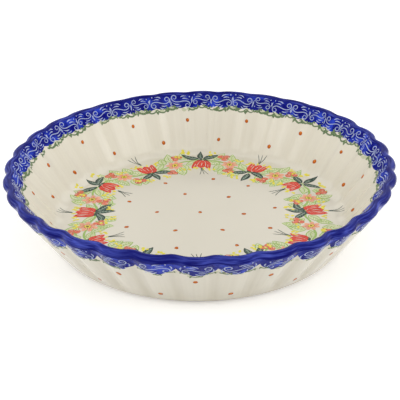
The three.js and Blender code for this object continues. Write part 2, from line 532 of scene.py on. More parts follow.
def band_paint(name, colours):
    """The borders' cobalt: dabbed on with a sponge, from deep to a thin wash."""
    material, tree, shader = new_material(name)
    where = place(tree)
    dab = patches(tree, where, scale=170.0, detail=4.0, edges=(0.38, 0.66))
    patch = patches(tree, where, scale=70.0, detail=2.0, edges=(0.34, 0.62), levels=(0.15, 1.0))
    load = arithmetic(tree, "MULTIPLY", dab, patch)
    tint = mixed(tree, load, colours.border_blue, colours.cobalt_wash)
    feed(tree, shader.inputs["Base Color"], tint)
    finish_glaze(tree, shader, roughness=0.16, ripple=0.10, gloss=PAINT_GLOSS)
    return material


HAIR_STRETCH = (1.2, 2.6, 37.0)  # of brush marks along a stroke, across it and from stroke to stroke
LOADED_SHADE, LOADED_SHARE = 0.75, 0.6  # how dark a full brush paints, and how far strokes differ


def brush_paint(name, colour, ground, thin):
    """Underglaze colour in brush strokes: streaked along the stroke, fuller at its edges, and
    letting the ground show where the brush ran thin."""
    material, tree, shader = new_material(name)
    along, across, load = (attribute(tree, part) for part in ("along", "across", "load"))
    hairs = node(tree, "ShaderNodeCombineXYZ")
    for socket, part, stretch in zip(hairs.inputs, (along, across, load), HAIR_STRETCH):
        feed(tree, socket, arithmetic(tree, "MULTIPLY", part, stretch))
    streak = patches(tree, hairs.outputs["Vector"], scale=2.2, edges=(0.32, 0.68))
    aside = arithmetic(tree, "ABSOLUTE", across)
    edge = ranged(tree, aside, low=0.55, high=1.0, to_low=1.0, to_high=0.3)
    thinness = arithmetic(tree, "MULTIPLY", arithmetic(tree, "MULTIPLY", streak, edge), thin)
    deep = tuple(LOADED_SHADE * part for part in colour)
    tint = mixed(tree, arithmetic(tree, "MULTIPLY", load, LOADED_SHARE), colour, deep)
    feed(tree, shader.inputs["Base Color"], mixed(tree, thinness, tint, ground))
    finish_glaze(tree, shader, roughness=0.16, ripple=0.08, gloss=PAINT_GLOSS)
    return material


CLAY_ROUGHNESS = 0.85
STAIN_SHADE = 0.62  # of the clay's colour in its stains and grit
GRIT_SCALE, GRIT_BUMP, GRIT_DEPTH = 900.0, 0.5, 0.0003


def bare_clay(name, colours):
    """Fired stoneware without glaze: matt, sandy and a little stained."""
    material, tree, shader = new_material(name)
    where = place(tree)
    stain = patches(tree, where, scale=30.0, detail=4.0, levels=(0.0, 0.5))
    dark = tuple(STAIN_SHADE * part for part in colours.clay)
    toned = mixed(tree, stain, colours.clay, dark)
    grains = cells(tree, where, GRIT_SCALE)
    grit = ranged(tree, grains, low=0.05, high=0.35, to_low=0.5, to_high=0.0)
    feed(tree, shader.inputs["Base Color"], mixed(tree, grit, toned, dark))
    roughen(tree, shader, GRIT_BUMP, GRIT_DEPTH, grains)
    shader.inputs["Roughness"].default_value = CLAY_ROUGHNESS
    return material


# Clay and glaze

STEPS_PER_FLUTE = 20
BAND_STEPS_PER_FLUTE = 40
FLOOR_RINGS = (0.0, 0.25, 0.6, 0.85)  # as shares of the flat of the floor
CLAY_STEPS = (5, 6, 9, 6)  # rings in the corner of the floor, the inside wall, the lip and the outside
GLAZE_STEPS = (9, 18, 13, 18)


def round_angles(surface, steps=STEPS_PER_FLUTE):
    count = surface.flute_count * steps
    return np.arange(count) * (2 * math.pi / count)


def outline_rings(surface, outline, angles):
    """Rings of the dish through these radii and heights, with a single point on the axis."""
    return [
        surface.fluted(radius, height, angles if radius else angles[:1]) for radius, height in outline
    ]


def dish_rings(surface, walks, depth, angles):
    """Rings of the dish at these walks, this far under the glazed surface."""
    return outline_rings(surface, [surface.profile(walk, depth) for walk in walks], angles)


def dish_walks(surface, steps):
    """Walks of the rings inside the dish, over its lip and down its outside."""
    corner_steps, wall_steps, lip_steps, outside_steps = steps
    floor = [share * surface.floor_end for share in FLOOR_RINGS]
    corner = np.linspace(surface.floor_end, surface.corner_end, corner_steps)
    wall = np.linspace(surface.corner_end, surface.lip_start, wall_steps)
    lip = np.linspace(surface.lip_start, surface.lip_end, lip_steps)
    outside = np.linspace(surface.lip_end, surface.foot_end, outside_steps)
    return [*floor, *corner, *wall[1:]], [*lip], [*outside]


FLOOR_SHADE = 1.5  # painted shade: how much darker the flat of the floor is made, in the honey of pooled glaze
HOLLOW_POOL = 0.5  # in the hollows of the flutes, inside
GROOVE_POOL_AND_SHADE = 1.0  # and in the grooves between them, outside, where it is pooled glaze and painted shade


def pooling_and_shade(surface, rings, walks, angles):
    """How much honey each point takes: 0 where the glaze is thin, more where it has pooled, and painted
    shade on the flat of the floor and in the outside grooves.
    """
    values = []
    for ring, walk in zip(rings, walks):
        inside = walk < surface.lip_start
        hollow = surface.flute_wave(angles[:len(ring)]) * (HOLLOW_POOL if inside else -GROOVE_POOL_AND_SHADE)
        share = np.clip((walk - surface.floor_end) / surface.fillet, 0, 1)
        values.append(share * np.clip(hollow, 0, 1) + FLOOR_SHADE * (1 - share))
    return values


def add_coat(name, surface, walks, material, node_name):
    """A glaze coat between the clay and the glazed surface, closed all round."""
    angles = round_angles(surface)
    face = dish_rings(surface, walks, 0.0, angles)
    back = dish_rings(surface, walks[::-1], surface.glaze, angles)
    coat = add_skin(name, face + back, walks[0] > 0, material)
    # pooled glaze, with painted shade on the floor and in the outside grooves
    pool = pooling_and_shade(surface, face, walks, angles)
    set_point_values(coat.data, "pool", np.concatenate(pool + pool[::-1]))
    reach = [np.full(len(ring), walk) for ring, walk in zip(face, walks)]
    set_point_values(coat.data, "walk", np.concatenate(reach + reach[::-1]))
    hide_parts(node_name)
    return coat


FOOT_WEAR = 0.35  # millimetres by which the edges of the foot are worn round


def foot_radii(shape):
    """Radii of the foot ring's outer and inner edge on the table, and of the recess."""
    outer = (shape.foot_diameter / 2 - shape.foot_bevel) / MM
    inner = outer - shape.foot_ring_width / MM
    return outer, inner, inner - shape.foot_draft / MM


def foot_outline(shape):
    """Radius and height down the bare foot, under its ring and across the recess to the axis."""
    outer, inner, recess = foot_radii(shape)
    ceiling = (shape.foot_recess + shape.glaze) / MM
    worn = FOOT_WEAR
    return [
        (outer + worn, worn), (outer, 0.1 * worn), (outer - worn, 0.0),
        (inner + worn, 0.0), (inner, 0.1 * worn), (inner - 0.4 * worn, worn),
        (recess + worn, ceiling - worn), (recess, ceiling - 0.2 * worn), (recess - worn, ceiling),
        (0.0, ceiling),
    ]


class PIEDISH_OT_clay_body(bpy.types.Operator):
    """Turn the fluted clay body and its bare foot ring"""

    bl_idname = "pie_dish.clay_body"
    bl_label = "Clay Body"

    def execute(self, context):
        shape = context.scene.pie_dish_shape
        surface = DishSurface(shape)
        angles = round_angles(surface)
        inside, lip, outside = dish_walks(surface, CLAY_STEPS)
        rings = dish_rings(surface, inside + lip[1:] + outside[1:], surface.glaze, angles)
        rings += outline_rings(surface, foot_outline(shape), angles)
        stoneware = bare_clay("bare stoneware", context.scene.pie_dish_colours)
        clay = add_skin("clay_body", rings, False, stoneware)
        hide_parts("stoneware_body")
        return {"FINISHED"}


class PIEDISH_OT_glaze_coats(bpy.types.Operator):
    """Lay the cream coats inside, outside and underneath, and the cobalt coat over the lip"""

    bl_idname = "pie_dish.glaze_coats"
    bl_label = "Glaze Coats"

    def execute(self, context):
        shape = context.scene.pie_dish_shape
        colours = context.scene.pie_dish_colours
        surface = DishSurface(shape)
        cream = cream_glaze("cream glaze", colours, surface)
        cobalt = cobalt_glaze("cobalt glaze", colours, (surface.lip_start + surface.lip_end) / 2)
        inside, lip, outside = dish_walks(surface, GLAZE_STEPS)
        add_coat("inside_coat", surface, inside, cream, "inside_glaze")
        add_coat("lip_coat", surface, lip, cobalt, "rim_glaze")
        add_coat("outside_coat", surface, outside, cream, "outside_glaze")
        self.add_underside(shape, surface, cream)
        return {"FINISHED"}

    def add_underside(self, shape, surface, cream):
        low, high = shape.foot_recess / MM, (shape.foot_recess + shape.glaze) / MM
        *_, recess = foot_radii(shape)
        edge = recess - shape.underside_margin / MM
        soft = (high - low) / 2
        outline = [(0.0, high), (edge, high), (edge, low + soft), (edge - soft, low), (0.0, low)]
        rings = outline_rings(surface, outline, round_angles(surface))
        coat = add_skin("underside_coat", rings, False, cream)
        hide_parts("underside_glaze")


# Brushwork

FILM_SINK = 0.05  # millimetres that the edge of a paint film reaches under the surface
BASE_LIFT = 0.03  # millimetres from the surface to the first film
LAYER_LIFT = 0.014  # from one film to the next over it
STROKE_LIFT = 0.0015  # from one stroke to the next in a film
STROKE_LAYERS = 9  # strokes after which the lift starts again
FINEST_WIDTH = 0.06


def smooth_path(points, steps=12):
    """A curve through given points, as evenly spaced steps."""
    points = np.asarray(points, float)
    ends = np.vstack([2 * points[0] - points[1], points, 2 * points[-1] - points[-2]])
    place_on = np.linspace(0, len(points) - 1, steps + 1)
    stretch = np.minimum(place_on.astype(int), len(points) - 2)
    part = (place_on - stretch)[:, None]
    before, start, end, after = (ends[stretch + k] for k in range(4))
    return 0.5 * (
        2 * start + (end - before) * part
        + (2 * before - 5 * start + 4 * end - after) * part ** 2
        + (3 * start - before - 3 * end + after) * part ** 3
    )


# How wide each kind of stroke is along its way, from its first end at 0 to its last at 1

def leaf_width(part):
    return np.sin(math.pi * part ** 0.85) ** 0.9


def petal_width(part):
    return np.sin(math.pi * part ** 1.25) ** 0.65


def drop_width(part):
    return np.sin(math.pi * (1 - part) ** 2) ** 0.7


def round_width(part):
    return np.sqrt(np.clip(1 - (2 * part - 1) ** 2, 0, 1))


def line_width(part):
    return np.minimum(1, 6 * np.minimum(part, 1 - part) + 0.35)


class PaintFilm:
    """Brush strokes in one pigment, gathered into one thin film that follows the surface."""

    RING = 5  # left, middle and right on top, then right and left underneath

    def __init__(self, surface, lift, seed):
        self.surface, self.lift = surface, lift
        self.random = random.Random(seed)
        self.walks, self.angles, self.lifts, self.faces = [], [], [], []
        self.marks = {"along": [], "across": [], "load": []}
        self.count = 0

    def stroke(self, spot, path, width, shape=leaf_width):
        """One stroke along a path in the spot's patch, this wide at its fullest."""
        path = np.asarray(path, float)
        stations = len(path)
        steps = np.hypot(*np.diff(path, axis=0).T)
        part = np.concatenate([[0], np.cumsum(steps)]) / max(steps.sum(), MM)
        heading = np.gradient(path, axis=0)
        heading /= np.maximum(np.hypot(*heading.T), MM)[:, None]
        side = np.stack([heading[:, 1], -heading[:, 0]], axis=1)
        half = np.maximum(width * shape(part), FINEST_WIDTH)[:, None] / 2
        left, right = path - side * half, path + side * half
        loop = np.stack([left, path, right, right, left], axis=1).reshape(-1, 2)
        walk, angle = self.surface.chart(spot, loop)
        self.walks.append(walk)
        self.angles.append(angle)
        lift, sink = self.lift + STROKE_LIFT * (len(self.walks) % STROKE_LAYERS), -FILM_SINK
        self.lifts.append(np.tile([lift, lift, lift, sink, sink], stations))
        self.marks["along"].append(np.repeat(part * steps.sum() / max(width, MM), self.RING))
        self.marks["across"].append(np.tile([-1.0, 0.0, 1.0, 1.0, -1.0], stations))
        self.marks["load"].append(np.full(stations * self.RING, self.random.random()))
        self.add_faces(stations)

    def add_faces(self, stations):
        first = self.count
        for station in range(stations - 1):
            here, there = first + station * self.RING, first + (station + 1) * self.RING
            for k in range(self.RING):
                after = (k + 1) % self.RING
                self.faces.append((here + k, there + k, there + after, here + after))
        last = first + (stations - 1) * self.RING
        self.faces.append(tuple(first + k for k in range(self.RING)))
        self.faces.append(tuple(last + k for k in reversed(range(self.RING))))
        self.count = last + self.RING

    def dab(self, spot, long, wide, steps=8):
        """A short round touch of the brush."""
        ease = (1 - np.cos(np.linspace(0, math.pi, steps + 1))) / 2
        path = np.stack([np.zeros(steps + 1), (ease - 0.5) * long], axis=1)
        self.stroke(spot, path, wide, round_width)

    def finish(self, name, material, slot):
        places = (np.concatenate(values) for values in (self.walks, self.angles, self.lifts))
        film = add_piece(name, self.surface.points(*places), self.faces, material)
        for mark, values in self.marks.items():
            set_point_values(film.data, mark, np.concatenate(values))


def layer(level):
    return BASE_LIFT + LAYER_LIFT * level


# Borders

INSIDE_BAND = 10.6  # millimetres from the lip to the band's lower edge
INSIDE_SCALLOP = 1.7
OUTSIDE_BAND = 6.2
OUTSIDE_SCALLOP = 0.8
CREST_DROP = 6.6  # how much lower the outside band hangs on the crests
CREST_FULLNESS = 0.38  # below 1 the band hangs low over more of the crest
BAND_ROWS = 9
BAND_WANDER = ((37, 0.5, 0.3), (71, 0.45, 2.0), (113, 0.4, 4.4))  # millimetres


def inside_edge(surface, angle):
    """Walk of the inside band's lower edge: shallow scallops, two to a flute."""
    cusp = np.abs(np.sin(surface.flute_count * angle))
    return surface.lip_start - INSIDE_BAND + INSIDE_SCALLOP * (1 - cusp)


def outside_edge(surface, angle):
    """Walk of the outside band's lower edge: it hangs lowest on the crests."""
    crest = ((1 + np.cos(surface.flute_count * angle)) / 2) ** CREST_FULLNESS
    cusp = np.abs(np.sin(2 * surface.flute_count * angle))
    reach = OUTSIDE_BAND + CREST_DROP * crest - OUTSIDE_SCALLOP * (1 - cusp)
    return surface.lip_end + reach + hand_wave(angle, BAND_WANDER)


def add_band(name, surface, top, edge, material):
    """A closed film of cobalt from the lip down to a scalloped edge."""
    angles = round_angles(surface, BAND_STEPS_PER_FLUTE)
    walks = [top + (edge(surface, angles) - top) * row for row in np.linspace(0, 1, BAND_ROWS)]
    if walks[-1][0] < walks[0][0]:
        walks.reverse()
    face = [surface.points(walk, angles, layer(1)) for walk in walks]
    back = [surface.points(walk, angles, -FILM_SINK) for walk in reversed(walks)]
    add_skin(name, face + back, True, material)


SCROLL_REACH = 17.0  # millimetres from the middle of a scroll to each end, along the line
SCROLL_TURNING = 8.0  # radians that each end winds up
SCROLL_LEAN = -0.34
SCROLL_DOT = np.array([-7.0, 4.0])  # place of the dot in a scroll's open corner
OPEN_LINE, OPEN_COMMA = 0.55, 0.715  # widths of the line and of the commas beside it
SCROLL_HEIGHT = 9.8  # of the band that a scroll fits at its own scale
INSIDE_SCROLLS = 48


def scroll_path(reach, turning, lean, steps=64):
    """A scroll that winds up at both ends: its bend grows evenly with the way from its middle."""
    way = np.linspace(-reach, reach, steps + 1)
    heading = turning * (way / reach) ** 2 + lean
    halfway = (heading[1:] + heading[:-1]) / 2
    strides = np.stack([np.cos(halfway), np.sin(halfway)], axis=1) * (2 * reach / steps)
    points = np.vstack([np.zeros((1, 2)), np.cumsum(strides, axis=0)])
    return points - points.mean(axis=0)


SCROLL_COMMAS = (  # root, bend and tip of the strokes beside a scroll's left end
    ((-0.8, 2.3), (-3.2, 2.7), (-6.1, 1.6)),
    ((0.5, 3.3), (-1.6, 4.4), (-4.6, 4.3)),
    ((-7.6, 2.4), (-8.0, 0.3), (-7.2, -1.9)),
)


def scroll(film, spot, flip):
    """A double scroll with fans of commas in its two open corners, left open in the cobalt."""
    mirror = np.array([flip, 1.0])
    line = scroll_path(SCROLL_REACH, SCROLL_TURNING, SCROLL_LEAN)
    film.stroke(spot, line * mirror, OPEN_LINE, line_width)
    for corner in (1, -1):
        for points in SCROLL_COMMAS:
            film.stroke(spot, smooth_path(points, 8) * mirror * corner, OPEN_COMMA, drop_width)
        film.dab(spot.at(*SCROLL_DOT * mirror * corner), long=1.0, wide=0.8, steps=6)


CURLS_PER_FLUTE = 3
CURL_WIDTH = 0.9
CURL = ((-3.0, -0.3), (-1.2, 1.4), (0.9, 1.9), (2.2, 0.9), (1.5, -0.1), (0.6, 0.6))
CURL_LEAVES = (((-1.8, 0.8), (-2.6, 1.6), (-2.9, 2.8)), ((2.0, 1.2), (3.2, 1.3), (4.3, 0.5)))
PALE_LEAVES = (
    ((-4.2, -0.6), (-3.0, 0.8), (-1.2, 1.2)),
    ((-1.4, -0.4), (-0.2, 1.2), (1.6, 1.5)),
    ((1.4, -0.2), (2.8, 1.0), (4.4, 0.6)),
)
LIFTED_BRUSH = 0.14  # share of the curls that the painter skipped
DRY_BRUSH = 0.45  # share of the pale leaves that are missing
INSIDE_CURLS, OUTSIDE_CURLS = 1.2, 0.85  # scale of the curls


def tendril(film, pale, surface, edge, down):
    """Loose curls that hang from a band's edge, with small leaves over pale ones, and gaps between."""
    pick = film.random
    count = surface.flute_count * CURLS_PER_FLUTE
    for turn in range(count):
        angle = (turn + pick.uniform(-0.2, 0.2)) * 2 * math.pi / count
        hang = np.array([pick.choice((-1, 1)), down])
        scale = (OUTSIDE_CURLS if down > 0 else INSIDE_CURLS) * pick.uniform(0.75, 1.3)
        spot = Spot(float(edge(surface, np.array(angle))), angle, scale=scale)
        for leaf in PALE_LEAVES:
            if pick.random() > DRY_BRUSH:
                pale.stroke(spot, smooth_path(leaf, 6) * hang, pick.uniform(1.4, 2.6), leaf_width)
        if pick.random() < LIFTED_BRUSH:
            continue
        width = CURL_WIDTH * pick.uniform(0.7, 1.3)
        film.stroke(spot, smooth_path(CURL, 16) * hang, width, line_width)
        for leaf in CURL_LEAVES:
            film.stroke(spot, smooth_path(leaf, 6) * hang, pick.uniform(0.9, 1.5), leaf_width)


class PIEDISH_OT_borders(bpy.types.Operator):
    """Paint the cobalt borders under the lip, their open scrolls and the green tendrils"""

    bl_idname = "pie_dish.borders"
    bl_label = "Borders"

    def execute(self, context):
        colours = context.scene.pie_dish_colours
        surface = DishSurface(context.scene.pie_dish_shape)
        wash = band_paint("sponged cobalt", colours)
        open_line = brush_paint("open line", colours.pale_blue, colours.cobalt_wash, 0.5)
        green = brush_paint("sage tendril", colours.sage, colours.sage_wash, 0.6)
        haze = brush_paint("pale sage leaf", colours.sage_wash, colours.cream, 0.7)
        for side, top, edge, down, count, slot in (
            ("inside", surface.lip_start, inside_edge, -1, INSIDE_SCROLLS, "inside_glaze"),
            ("outside", surface.lip_end, outside_edge, 1, surface.flute_count, "outside_glaze"),
        ):
            add_band(f"{side}_border", surface, top, edge, wash)
            scrolls = PaintFilm(surface, layer(2), seed=f"{side} scrolls")
            self.lay_scrolls(scrolls, surface, top, edge, down, count)
            scrolls.finish(f"{side}_scrolls", open_line, slot)
            vine = PaintFilm(surface, layer(3), seed=f"{side} vine")
            leaves = PaintFilm(surface, layer(0), seed=f"{side} pale leaves")
            tendril(vine, leaves, surface, edge, down)
            vine.finish(f"{side}_tendril", green, slot)
            leaves.finish(f"{side}_pale_leaves", haze, slot)
        return {"FINISHED"}

    def lay_scrolls(self, film, surface, top, edge, down, count):
        for turn in range(count):
            angle = turn * 2 * math.pi / count
            depth = abs(float(edge(surface, np.array(angle))) - top)
            turned = (0 if down < 0 else math.pi) + film.random.uniform(-0.12, 0.12)
            spot = Spot(top + down * 0.5 * depth, angle, turn=turned, scale=depth / SCROLL_HEIGHT)
            scroll(film, spot, 1 if turn % 2 else -1)


# Dots

FLOOR_DOTS = (  # ring radius in millimetres, then angles in degrees
    (0.0, (0,)),
    (30.0, (84, 139, 202, 269, 328, 31)),
    (52.5, (251, 209, 170, 140, 96, 64, 28, 343, 293)),
)
INSIDE_ROWS = (  # share of the way up the wall, then angles in degrees
    (0.52, (5, 27, 48, 69, 95, 117, 139, 162, 185, 207, 231, 253, 276, 298, 321, 343)),
    (0.13, (16, 38, 60, 82, 104, 127, 150, 173, 196, 219, 242, 265, 287, 309, 331, 354)),
)
OUTSIDE_ROWS = (  # share of the way down the wall, then angles in degrees
    (0.41, (-1, 22, 44, 67, 89, 112, 135, 157, 180, 202, 225, 247, 270, 292, 315, 337)),
    (0.82, (11, 34, 57, 79, 102, 124, 146, 169, 191, 214, 236, 259, 281, 303, 324, 348)),
)
DOT_LENGTH, DOT_WIDTH = 3.3, 2.8  # millimetres
LIGHT_LENGTH, LIGHT_WIDTH = 1.65, 1.54  # of the lighter touch in a dot
DOT_SCATTER = 0.5  # millimetres along the walk, and degrees round the dish
INSIDE_DOT_SIZE, OUTSIDE_DOT_SIZE = 0.94, 1.12


class PIEDISH_OT_dots(bpy.types.Operator):
    """Dab the rust dots on the floor and in two rows on each side of the wall"""

    bl_idname = "pie_dish.dots"
    bl_label = "Dots"

    def execute(self, context):
        colours = context.scene.pie_dish_colours
        surface = DishSurface(context.scene.pie_dish_shape)
        paints = (
            brush_paint("rust dots", colours.rust, colours.amber, 0.5),
            brush_paint("amber dots", colours.amber, colours.rust, 0.3),
        )
        wall = surface.lip_start - surface.corner_end
        outside_wall = surface.foot_end - surface.lip_end
        inside = self.rows(0.0, 1.0, FLOOR_DOTS) + self.rows(surface.corner_end, wall, INSIDE_ROWS)
        outside = self.rows(surface.lip_end, outside_wall, OUTSIDE_ROWS)
        self.lay_dots("inside", surface, inside, 1, INSIDE_DOT_SIZE, paints)
        self.lay_dots("outside", surface, outside, -1, OUTSIDE_DOT_SIZE, paints)
        return {"FINISHED"}

    def rows(self, start, reach, rows):
        """Walks and angles of the dots in rows that lie along a stretch of the walk."""
        return [
            (start + share * reach, math.radians(angle)) for share, angles in rows for angle in angles
        ]

    def lay_dots(self, side, surface, places, up, size, paints):
        """Two touches to a dot: a dark one, and a lighter one where the brush left less colour."""
        dark = PaintFilm(surface, layer(0), seed=f"{side} dots")
        light = PaintFilm(surface, layer(1), seed=f"{side} dot lights")
        pick = dark.random
        for walk, angle in places:
            walk = max(walk + pick.uniform(-DOT_SCATTER, DOT_SCATTER), 0)
            angle += math.radians(pick.uniform(-DOT_SCATTER, DOT_SCATTER))
            spot = Spot(walk, angle, pick.uniform(-0.6, 0.6), size * pick.uniform(0.88, 1.08))
            dark.dab(spot, DOT_LENGTH, DOT_WIDTH, 10)
            light.dab(spot.at(pick.uniform(-0.6, 0.1), 0.55 * up), LIGHT_LENGTH, LIGHT_WIDTH)
        rust, amber = paints
        dark.finish(f"{side}_dots", rust, f"{side}_glaze")
        light.finish(f"{side}_dot_lights", amber, f"{side}_glaze")


# Garland

GARLAND_RADIUS = 78.0  # millimetres
GARLAND_SWING = 6.5  # how far the stem waves in and out
GARLAND_WAVES = 6
STEM_WIDTH = 1.5
STEM_OVERLAP = 0.02  # radians by which one stroke of the stem runs past the next


def stem_radius(angle):
    return GARLAND_RADIUS + GARLAND_SWING * np.cos(GARLAND_WAVES * angle)


class GarlandBrush:
    """The films of the garland, with one method for each thing that is painted in it."""

    PIGMENTS = (  # colour, share that may run thin, from the lowest film to the highest
        ("lime_wash", 0.85),
        ("lime", 0.35),
        ("pine", 0.15),
        ("mist", 0.1),
        ("peach", 0.3),
        ("red", 0.15),
        ("coral", 0.3),
        ("yellow", 0.2),
        ("cream", 0.0),
        ("umber", 0.1),
    )

    def __init__(self, surface):
        self.films = {
            name: PaintFilm(surface, layer(level), seed=f"garland {name}")
            for level, (name, _) in enumerate(self.PIGMENTS)
        }

    def finish(self, colours):
        for name, thin in self.PIGMENTS:
            paint = brush_paint(f"{name} paint", getattr(colours, name), colours.cream, thin)
            self.films[name].finish(f"garland_{name}", paint, "inside_glaze")

    def stroke(self, film, spot, points, width, shape=leaf_width, steps=10):
        self.films[film].stroke(spot, smooth_path(points, steps), width, shape)

    def tulip(self, spot):
        self.stroke("red", spot, [(0, 0.5), (0, 6), (0, 12.6)], 6.4, petal_width)
        for side in (-1, 1):
            self.stroke("red", spot, [(0.4 * side, 0.4), (3.9 * side, 2.6), (4.3 * side, 8),
                                      (6.0 * side, 13.2)], 4.6, petal_width)
            self.stroke("cream", spot, [(2.3 * side, 3.6), (2.8 * side, 7.4), (3.3 * side, 10.6)], 0.45)
            self.stroke("cream", spot, [(4.4 * side, 6), (4.6 * side, 8.4), (5.3 * side, 10.8)], 0.4)
            self.stroke("pine", spot, [(0, -0.6), (2.8 * side, -0.3), (5.2 * side, 2.2)], 1.9, drop_width)
            self.stroke("yellow", spot, [(1.9 * side, 11.6), (2.3 * side, 13.4), (2.8 * side, 15)], 1.3)
        self.stroke("cream", spot, [(0, 4), (0, 7), (0, 9.6)], 0.45)

    def berries(self, spot):
        for x, y in ((-2.7, 3.4), (2.7, 3.6), (0.0, 7.2)):
            self.stroke("lime", spot, [(0, -1.0), (0.3 * x, 0.5 * y), (x, y)], 0.7, line_width)
            berry = spot.at(x, y)
            self.films["coral"].dab(berry, 5.2, 4.9, 10)
            for row, reach in ((-1.2, 1.3), (0.1, 1.8), (1.3, 1.3)):
                self.stroke("red", berry, [(-reach, row), (0.1, row - 0.5), (reach, row)], 0.55, steps=6)
            self.stroke("cream", berry, [(-1.5, 0.2), (-1.2, 1.1), (-0.4, 1.6)], 0.6, steps=6)
            self.films["umber"].dab(berry.at(0, 2.3), 0.9, 0.9, 6)

    def daisy(self, spot, petals=7):
        for turn in range(petals):
            petal = spot.at(0, 0, turn=2 * math.pi * turn / petals)
            self.stroke("peach", petal, [(0, 1.3), (0.25, 4.2), (0, 7.2)], 3.5, petal_width)
            self.stroke("coral", petal, [(0, 2.0), (0.1, 3.4), (0, 4.8)], 0.6)
        self.films["yellow"].dab(spot, 4.6, 4.6, 12)
        self.films["umber"].dab(spot, 2.0, 1.8)
        for turn in range(petals):
            seed = spot.at(0, 0, turn=2 * math.pi * (turn + 0.5) / petals).at(0, 2.3)
            self.films["umber"].dab(seed, 0.8, 0.6, 4)

    def pine_leaf(self, spot):
        self.stroke("pine", spot, [(0, 0), (0.9, 7), (0, 14.5)], 5.4)
        self.stroke("mist", spot, [(0.1, 1.6), (0.8, 6.9), (0.2, 12.4)], 0.55, line_width)
        for reach, row in ((1.5, 2.6), (1.9, 4.8), (1.8, 7.0), (1.3, 9.2)):
            for side in (-1, 1):
                self.stroke("mist", spot, [(0.6, row), (0.6 + 0.5 * reach * side, row + 0.9),
                                           (0.6 + reach * side, row + 1.6)], 0.4, steps=4)

    def lime_leaf(self, spot):
        self.stroke("lime_wash", spot, [(0, 0), (1.0, 5.8), (0, 12)], 6.8)
        for side in (-1, 1):
            self.stroke("lime", spot, [(0, 0.1), (0.6 + 2.9 * side, 3.4), (0.7 + 2.7 * side, 7.8),
                                       (0, 12.2)], 0.7, line_width, 14)
            for row in (2.4, 4.4, 6.4, 8.4):
                self.stroke("lime", spot, [(0.6, row), (0.6 + 1.1 * side, row + 0.9),
                                           (0.6 + 2.0 * side, row + 1.9)], 0.45, steps=4)
        self.stroke("lime", spot, [(0.1, 1.0), (0.9, 5.5), (0.2, 10.5)], 0.5, line_width)

    def buds(self, spot, count=5):
        pick = self.films["yellow"].random
        for _ in range(count):
            bud = spot.at(pick.uniform(-3.4, 3.4), pick.uniform(-2.4, 2.4), turn=pick.uniform(-1.2, 1.2))
            self.films["yellow"].dab(bud, pick.uniform(2.0, 3.0), pick.uniform(1.4, 2.0), 6)

    def grass(self, spot):
        for x, bend in ((-1.4, -1.8), (0.0, 0.2), (1.4, 2.2)):
            self.stroke("pine", spot, [(0.3 * x, 0), (0.7 * x, 5), (x + bend, 12)], 0.45, line_width)

    def stem(self, steps_per_wave=60):
        """The waving stem that carries the garland, as one long stroke to a wave."""
        wave = 2 * math.pi / GARLAND_WAVES
        for turn in range(GARLAND_WAVES):
            angles = np.linspace(-STEM_OVERLAP, wave + STEM_OVERLAP, steps_per_wave)
            reach = stem_radius(angles)
            path = np.stack([reach * np.sin(angles), reach * np.cos(angles)], axis=1)
            self.films["lime"].stroke(Spot(0.0, turn * wave), path, STEM_WIDTH, line_width)


class PIEDISH_OT_garland(bpy.types.Operator):
    """Paint the garland of tulips, daisies, berries and leaves round the edge of the floor"""

    bl_idname = "pie_dish.garland"
    bl_label = "Garland"

    def execute(self, context):
        surface = DishSurface(context.scene.pie_dish_shape)
        brush = GarlandBrush(surface)
        pick = random.Random("garland layout")
        brush.stem()
        half = math.pi / GARLAND_WAVES
        for turn in range(2 * GARLAND_WAVES):
            self.half_wave(brush, pick, turn * half, inward=turn % 2 == 0)
        brush.finish(context.scene.pie_dish_colours)
        return {"FINISHED"}

    def half_wave(self, brush, pick, angle, inward):
        """One swing of the stem: a tulip in its hollow, dark leaves behind it, berries and soft
        leaves on each side and a daisy where the stem crosses to the next swing."""
        side = -1 if inward else 1

        def spot(reach, degrees, turn=0.0, scale=1.0):
            here = angle + math.radians(degrees + pick.uniform(-1.1, 1.1))
            walk = float(stem_radius(here)) + side * reach + pick.uniform(-1.2, 1.2)
            turned = math.pi - turn if inward else turn
            return Spot(walk, here, turned + pick.uniform(-0.25, 0.25), scale * pick.uniform(0.88, 1.1))

        brush.tulip(spot(1.2, 0.0))
        brush.pine_leaf(spot(-0.8, 0.0, turn=math.pi, scale=0.9))
        for lean in (-1, 1):
            brush.pine_leaf(spot(-0.4, 1.0 * lean, turn=math.pi - 1.1 * lean))
            brush.lime_leaf(spot(1.6, 3.4 * lean, turn=0.95 * lean))
            brush.lime_leaf(spot(-2.0, 7.4 * lean, turn=math.pi - 0.5 * lean))
            brush.berries(spot(-4.5, 9.6 * lean, turn=math.pi - 0.9 * lean, scale=0.9))
            brush.lime_leaf(spot(4.8, 9.8 * lean, turn=0.1 * lean))
            brush.buds(spot(13.0, 5.4 * lean))
            brush.buds(spot(-11.5, 6.2 * lean))
        brush.daisy(spot(0.0, 15.0, turn=pick.uniform(0, 1), scale=0.9))
        brush.lime_leaf(spot(6.5, 14.4, turn=0.1))
        brush.lime_leaf(spot(-6.5, 15.6, turn=math.pi - 0.1))
        brush.buds(spot(10.0, 12.0))
        brush.buds(spot(-10.0, 12.6))
        brush.grass(spot(15.0, 0.0))


# Stage

